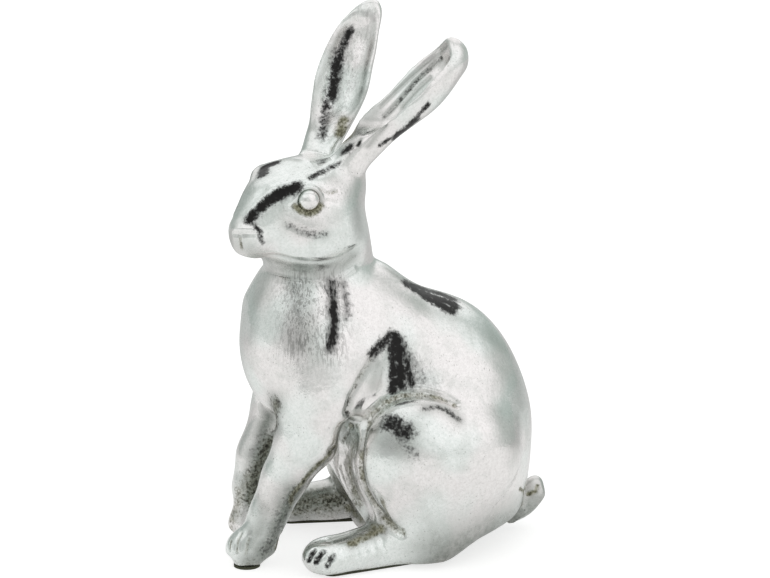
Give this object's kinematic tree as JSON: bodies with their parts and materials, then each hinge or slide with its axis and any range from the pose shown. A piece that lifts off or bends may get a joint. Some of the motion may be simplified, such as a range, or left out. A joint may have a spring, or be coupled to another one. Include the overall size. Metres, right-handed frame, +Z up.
{
  "type": "rabbit figurine",
  "caption": "Seated rabbit ornament with upright ears and a turned head, cast in resin parts, pinned together and silver leafed.",
  "frame": {"origin": "middle of the bounding box's bottom face, on the plane the pads rest on", "axes": "+X the rabbit's left side, -Y the rabbit's front, +Z up"},
  "size_m": [0.104, 0.1536, 0.2403],
  "materials": {
    "silver_leaf": "bright metal leaf over cast resin, burnished on the swells, with an olive brown wash left in the hollows",
    "dowel_wood": "plain turned beech",
    "pin_steel": "cut rod",
    "plug_cork": "pressed cork",
    "pad_felt": "glued felt"
  },
  "bodies": {
    "root": {"torso_shell": "silver_leaf", "head": "silver_leaf", "left_ear": "silver_leaf", "right_ear": "silver_leaf", "left_eye": "silver_leaf", "right_eye": "silver_leaf", "left_foreleg": "silver_leaf", "right_foreleg": "silver_leaf", "left_hind_leg": "silver_leaf", "right_hind_leg": "silver_leaf", "tail": "silver_leaf", "neck_dowel": "dowel_wood", "left_ear_pin": "pin_steel", "right_ear_pin": "pin_steel", "left_foreleg_dowel": "pin_steel", "right_foreleg_dowel": "pin_steel", "left_hip_dowel": "pin_steel", "right_hip_dowel": "pin_steel", "tail_pin": "pin_steel", "filling_plug": "plug_cork", "left_fore_pad": "pad_felt", "right_fore_pad": "pad_felt", "left_hind_pad": "pad_felt", "right_hind_pad": "pad_felt", "rump_pad": "pad_felt"}
  },
  "joints": []
}
